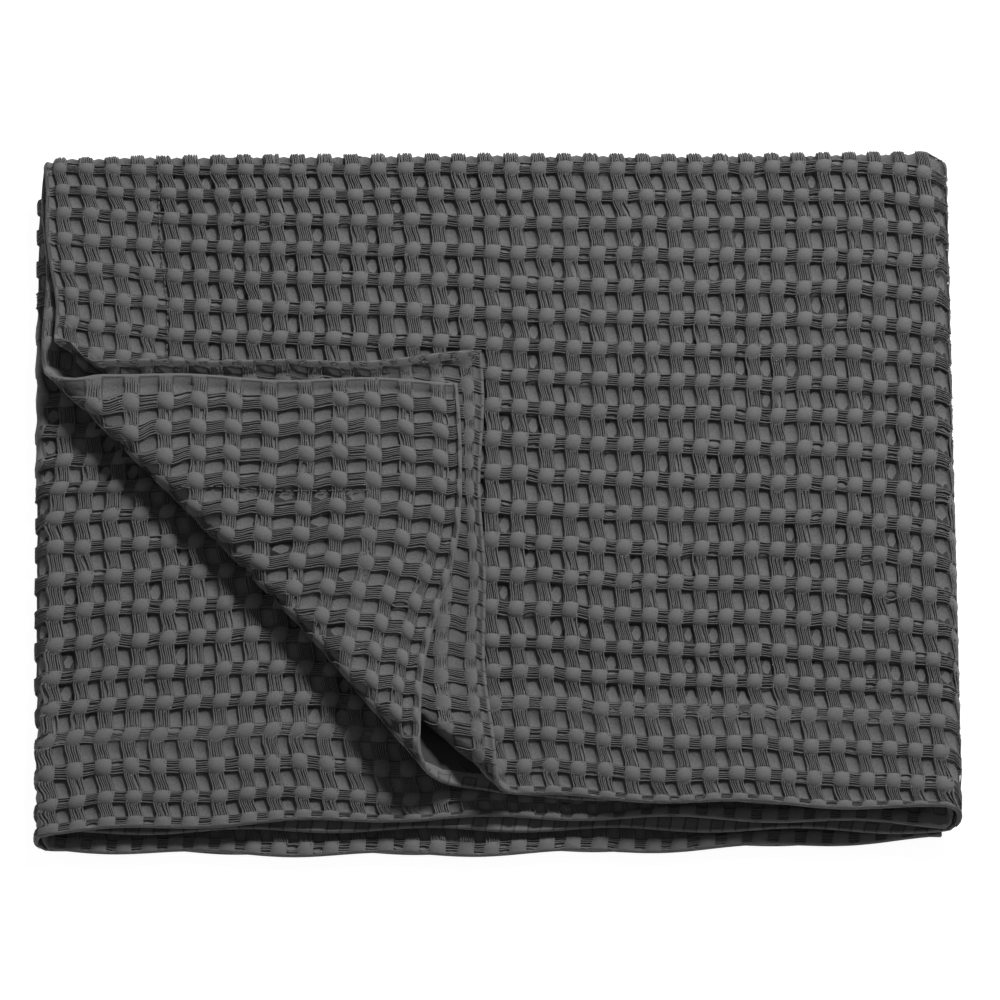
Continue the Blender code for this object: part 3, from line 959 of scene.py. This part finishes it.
def yarns(name, kind, along_rows, cells):
    """Yarns that float from block to block. A cell is its first block's column and row, and its side."""
    cells = np.array(cells, float)
    across, along, top = (part[..., None] for part in yarn_routes(kind, len(cells)))
    rings = len(kind.tops)
    shape = (len(cells), kind.yarns, rings, CORNERS)
    front = cells[:, 2, None, None, None] > 0.5
    offset = np.where(front, 0.0, 0.5)
    column = cells[:, 0, None, None, None] - offset
    row = cells[:, 1, None, None, None] - offset
    wide = across + kind.radius * np.cos(CORNER_TURNS) / (CELL_ALONG if along_rows else CELL_ACROSS)
    high = top + kind.radius * (np.sin(CORNER_TURNS) - 1.0) * YARN_FLATNESS
    if along_rows:
        column = np.clip(column + along, COLUMNS[0].number + YARN_RIM, COLUMNS[-1].number - YARN_RIM)
        row = row + wide
    else:
        column = column + wide
        row = row + along
    places = lay(*(np.broadcast_to(part, shape).ravel() for part in (column, row, high, front)))
    on_front = np.repeat(front.ravel(), kind.yarns)
    mesh = mesh_of(name, places, *tube_faces(len(on_front), rings, on_front == along_rows))
    map_yarn(mesh, lambda ring: ring % rings + NEXT_YARN * (ring // rings))
    return add_piece(name, mesh)


def map_yarn(mesh, along):
    """A yarn's own map: how far along it a ring lies, and 1 on its lower side, which the yarn's material
    darkens as painted shade.
    """
    index = np.zeros(len(mesh.loops), np.int32)
    mesh.loops.foreach_get("vertex_index", index)
    uv = np.stack([along(index // CORNERS), index % CORNERS > 0], axis=1)
    mesh.uv_layers.new(name="weave").data.foreach_set("uv", uv.astype(np.float32).ravel())


def tube_faces(tubes, rings, turned):
    """The faces of tubes of a few corners, whose points follow each other ring by ring."""
    base = (np.arange(tubes) * rings * CORNERS)[:, None, None]
    ring = (np.arange(rings - 1) * CORNERS)[None, :, None]
    corner = np.arange(CORNERS)[None, None, :]
    after = (corner + 1) % CORNERS
    first = base + ring
    quads = [first + corner, first + after, first + CORNERS + after, first + CORNERS + corner]
    quads = np.stack(quads, axis=-1).reshape(-1, 4)
    last_ring = base[:, 0] + (rings - 1) * CORNERS
    ends = np.concatenate([base[:, 0] + [[2, 1, 0]], last_ring + [[0, 1, 2]]])
    turned_quads = np.repeat(turned, (rings - 1) * CORNERS)
    quads[turned_quads] = quads[turned_quads][:, ::-1]
    turned_ends = np.tile(turned, 2)
    ends[turned_ends] = ends[turned_ends][:, ::-1]
    return quads, ends


def mesh_of(name, places, quads, triangles):
    mesh = bpy.data.meshes.new(name)
    mesh.vertices.add(len(places))
    mesh.vertices.foreach_set("co", places.astype(np.float32).ravel())
    loops = np.concatenate([quads.ravel(), triangles.ravel()]).astype(np.int32)
    mesh.loops.add(len(loops))
    mesh.loops.foreach_set("vertex_index", loops)
    starts = np.concatenate([
        np.arange(len(quads)) * 4, len(quads) * 4 + np.arange(len(triangles)) * 3
    ]).astype(np.int32)
    mesh.polygons.add(len(quads) + len(triangles))
    mesh.polygons.foreach_set("loop_start", starts)
    mesh.update(calc_edges=True)
    mesh.validate()
    mesh.shade_smooth()
    return mesh


def float_cells(levels, columns, rows):
    """The cells whose long and short floats are made, by where they lie."""
    groups = {(word, place): [] for word in ("long", "short") for place in ("top", "corner", "lower")}
    for front in (True, False):
        for i in range(len(columns.cells)):
            for j in range(len(rows.cells)):
                if levels[front][i][j] != FINE:
                    continue
                column = columns.first_number[i]
                row = rows.first_number[j]
                first = 0 if front else 1
                place = group_of(columns.middle(i), rows.middle(j), front)
                if column >= 0 and first <= row < LAST_ROW + first:
                    groups["long", place].append((column, row, front))
                if column >= first - 1 and first <= row <= LAST_ROW:
                    groups["short", place].append((column, row, front))
    return groups


def group_of(u, v, front):
    if u > SECOND_PANEL:
        return "lower"
    return "top" if v > 0 and front else "corner"


def stitch_lines():
    """The hems' seams on both sides of the cloth, and the mitres inside: two ends and a side each."""
    along = (SIDE_HEM, LENGTH - SIDE_HEM)
    across = (FRONT_HEM - WIDTH / 2, WIDTH / 2 - FRONT_HEM)
    for front in (True, False):
        yield from (((along[0], v), (along[1], v), front) for v in across)
        yield from (((u, across[0]), (u, across[1]), front) for u in along)
    for u, inner_u in ((0.0, along[0]), (LENGTH, along[1])):
        for v, inner_v in ((-WIDTH / 2, across[0]), (WIDTH / 2, across[1])):
            yield (u, v), (inner_u, inner_v), False


def stitches():
    """The stitches along the hems' seams and mitres, as short tubes that dip in at both ends."""
    starts, ends, sides = [], [], []
    for start, end, front in stitch_lines():
        start, whole = np.array(start), np.subtract(end, start)
        count = int(math.hypot(*whole) / (STITCH + STITCH_GAP))
        for number in range(count):
            first = start + whole * (number + STITCH_START) / count
            starts.append(first)
            ends.append(first + whole * STITCH / math.hypot(*whole))
            sides.append(front)
    starts = np.array(starts)[:, None, None, :]
    whole = np.array(ends)[:, None, None, :] - starts
    direction = whole / np.linalg.norm(whole, axis=-1, keepdims=True)
    t = np.array(STITCH_RINGS)[None, :, None]
    sunk = np.where((t > 0.0) & (t < 1.0), 0.0, STITCH_SINK)
    wide = STITCH_RADIUS * np.cos(CORNER_TURNS)
    u = starts[..., 0] + whole[..., 0] * t - direction[..., 1] * wide
    v = starts[..., 1] + whole[..., 1] * t + direction[..., 0] * wide
    high = STITCH_HEIGHT - sunk + STITCH_RADIUS * (np.sin(CORNER_TURNS) - 1.0)
    parts = (u, v, high, np.array(sides)[:, None, None])
    u, v, high, front = (np.broadcast_to(part, u.shape).ravel() for part in parts)
    faces = tube_faces(len(sides), len(STITCH_RINGS), np.array(sides))
    mesh = mesh_of("hem_stitches", lay_sewn(u, v, high, front), *faces)
    map_yarn(mesh, lambda ring: ring)
    return add_piece("hem_stitches", mesh)


# ---- Materials


class Value:
    """A number or a vector that comes out of a node, for use in sums."""

    def __init__(self, paint, socket):
        self.paint = paint
        self.socket = socket

    def _sum(self, operation, *others):
        return self.paint.node("ShaderNodeMath", {"operation": operation}, *others)

    def __add__(self, other):
        return self._sum("ADD", self, other)

    __radd__ = __add__

    def __sub__(self, other):
        return self._sum("SUBTRACT", self, other)

    def __rsub__(self, other):
        return self._sum("SUBTRACT", other, self)

    def __mul__(self, other):
        return self._sum("MULTIPLY", self, other)

    __rmul__ = __mul__


class Paint:
    """One material and its nodes."""

    def __init__(self, name):
        self.material = bpy.data.materials.new(name)
        self.material.use_nodes = True
        self.nodes = self.material.node_tree.nodes
        self.links = self.material.node_tree.links
        self.shader = self.nodes["Principled BSDF"]

    def node(self, kind, settings=None, *values, output=0, **named):
        made = self.nodes.new(kind)
        for name, setting in (settings or {}).items():
            setattr(made, name, setting)
        for place, value in (*enumerate(values), *named.items()):
            key = place.replace("_", " ") if isinstance(place, str) else place
            self.put(made.inputs[key], value)
        return Value(self, made.outputs[output])

    def put(self, socket, value):
        if isinstance(value, Value):
            self.links.new(value.socket, socket)
        else:
            socket.default_value = value

    def set(self, **values):
        for name, value in values.items():
            self.put(self.shader.inputs[name.replace("_", " ")], value)

    def between(self, value, low, high):
        smooth = {"interpolation_type": "SMOOTHSTEP", "clamp": True}
        return self.node("ShaderNodeMapRange", smooth, value, low, high, 0.0, 1.0)

    def sine(self, value):
        return self.node("ShaderNodeMath", {"operation": "SINE"}, value)

    def wrapped(self, value):
        """How far a number is from the nearest whole one, 0 to 0.5."""
        return self.node("ShaderNodeMath", {"operation": "PINGPONG"}, value, 0.5)

    def most(self, a, b):
        return self.node("ShaderNodeMath", {"operation": "MAXIMUM"}, a, b)

    def own_map(self):
        """The two numbers of a piece's own map."""
        uv = self.node("ShaderNodeUVMap", {"uv_map": "weave"})
        parts = self.node("ShaderNodeSeparateXYZ", None, uv)
        return parts, Value(self, parts.socket.node.outputs["Y"])

    def speckles(self, scale):
        place = self.node("ShaderNodeTexCoord", None, output="Object")
        return self.node("ShaderNodeTexNoise", None, Vector=place, Scale=scale, Detail=2.0)

    def toned(self, shade):
        """Cotton as light as the shade says, from 0 for black to 1."""
        mixed = self.node("ShaderNodeMix", {"data_type": "RGBA", "blend_type": "MIX"}, shade, output=2)
        inputs = mixed.socket.node.inputs
        inputs[MIX_FROM].default_value = BLACK
        inputs[MIX_TO].default_value = (*COTTON, 1.0)
        return mixed


MIX_FROM, MIX_TO = 6, 7  # the colour inputs of a Mix node, whose names are not its own alone
COTTON_SHEEN = {"Specular_IOR_Level": 0.22, "Sheen_Weight": 0.10, "Sheen_Roughness": 0.5}


def painted_shade_cotton():
    """The cloth deep between the layers, without relief, with painted shade: as dark as the shade of its
    pockets would make it.
    """
    paint = Paint("cotton with painted shade between the layers")
    colour = (*(PAINTED_SHADE_BETWEEN_LAYERS * part for part in COTTON), 1.0)
    paint.set(Base_Color=colour, Roughness=0.95, Specular_IOR_Level=0.1)
    return paint.material


def woven_cotton():
    paint = Paint("woven cotton with painted shade")
    column, row = paint.own_map()
    a = paint.wrapped(column)
    b = paint.wrapped(row)
    cloudy = paint.between(paint.speckles(1000.0), 0.30, 0.70)
    broad = paint.speckles(35.0)
    in_column = 1.0 - paint.between(a, *BLOCK_EDGE.column)
    in_row = 1.0 - paint.between(b, *BLOCK_EDGE.row)
    in_pocket = (1.0 - in_column) * (1.0 - in_row)
    # Painted shade: the colour darkens along the pockets' walls, where their shade falls.
    at_side = paint.between(a, *CREVICE_START.column) * (1.0 - paint.between(a, *CREVICE_END.column))
    at_end = paint.between(b, *CREVICE_START.row) * (1.0 - paint.between(b, *CREVICE_END.row))
    painted_crevice_shade = paint.most(at_side * (1.0 - in_row), at_end * (1.0 - in_column))
    shade = (1.0 - painted_crevice_shade * 0.50) * (0.88 + cloudy * 0.24) * (0.94 + broad * 0.12)
    # Painted shade: the pockets' floors are a little darker than the blocks.
    shade = shade * (1.0 - in_pocket * 0.13)
    threads = paint.sine(column * (2 * math.pi * THREADS.column))
    threads = threads * paint.sine(row * (2 * math.pi * THREADS.row))
    weave = threads * 0.5 + cloudy * 0.8
    bump = paint.node("ShaderNodeBump", None, Strength=0.35, Distance=0.00025, Height=weave)
    paint.set(Base_Color=paint.toned(shade), Roughness=0.93, Normal=bump, **COTTON_SHEEN)
    return paint.material


def cotton_yarn():
    paint = Paint("cotton yarn with painted shade")
    along, underneath = paint.own_map()
    cloudy = paint.between(paint.speckles(1100.0), 0.30, 0.70)
    twist = paint.sine(along * (2 * math.pi * TWISTS))
    # Painted shade: each yarn's lower sides are darker, so that the slits between the yarns show.
    shade = (0.86 + cloudy * 0.24) * (0.97 + twist * 0.03) * (1.0 - underneath * 0.35)
    fuzz = twist * 0.5 + cloudy
    bump = paint.node("ShaderNodeBump", None, Strength=0.3, Distance=0.0002, Height=fuzz)
    paint.set(Base_Color=paint.toned(shade), Roughness=0.92, Normal=bump, **COTTON_SHEEN)
    return paint.material


def pale_floor():
    paint = Paint("pale floor")
    paint.set(Base_Color=FLOOR_COLOUR, Roughness=0.9, Emission_Color=WHITE, Emission_Strength=FLOOR_GLOW)
    return paint.material


# ---- The scene

cloth, levels, columns, rows = woven_cloth()
cloth.data.materials.append(woven_cotton())
cloth.data.materials.append(painted_shade_cotton())
floats = [
    yarns(f"{word}_yarns_{place}", LONG if word == "long" else SHORT, word == "short", cells)
    for (word, place), cells in float_cells(levels, columns, rows).items()
]
floats.append(stitches())
yarn_look = cotton_yarn()
for piece in floats:
    piece.data.materials.append(yarn_look)

for piece in (cloth, *floats):
    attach(piece, "root")
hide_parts("blanket")

bpy.ops.mesh.primitive_plane_add(size=FLOOR_SIZE, location=(0.0, 0.0, 0.0))
floor = bpy.context.object
floor.name = "floor"
floor.data.materials.append(pale_floor())

bpy.context.scene.view_settings.view_transform = "Standard"
world = bpy.data.worlds.new("studio")
bpy.context.scene.world = world
world.use_nodes = True
sky = world.node_tree.nodes["Background"]
sky.inputs["Color"].default_value = WHITE
sky.inputs["Strength"].default_value = WORLD_STRENGTH


def point_at(thing, place, aim):
    thing.location = place
    thing.rotation_euler = (Vector(aim) - Vector(place)).to_track_quat("-Z", "Y").to_euler()
    bpy.context.scene.collection.objects.link(thing)


key = bpy.data.lights.new("key", "AREA")
key.shape = "SQUARE"
key.size = KEY_SIZE
key.energy = KEY_WATTS
point_at(bpy.data.objects.new("key", key), KEY_PLACE, (0.0, 0.0, 0.0))

camera_data = bpy.data.cameras.new("camera")
camera_data.sensor_width = CAMERA_SENSOR
camera_data.lens = CAMERA_LENS
camera = bpy.data.objects.new("camera", camera_data)
back = Vector((0.0, -math.cos(CAMERA_ELEVATION), math.sin(CAMERA_ELEVATION)))
point_at(camera, CAMERA_AIM + back * CAMERA_DISTANCE, CAMERA_AIM)
bpy.context.scene.camera = camera
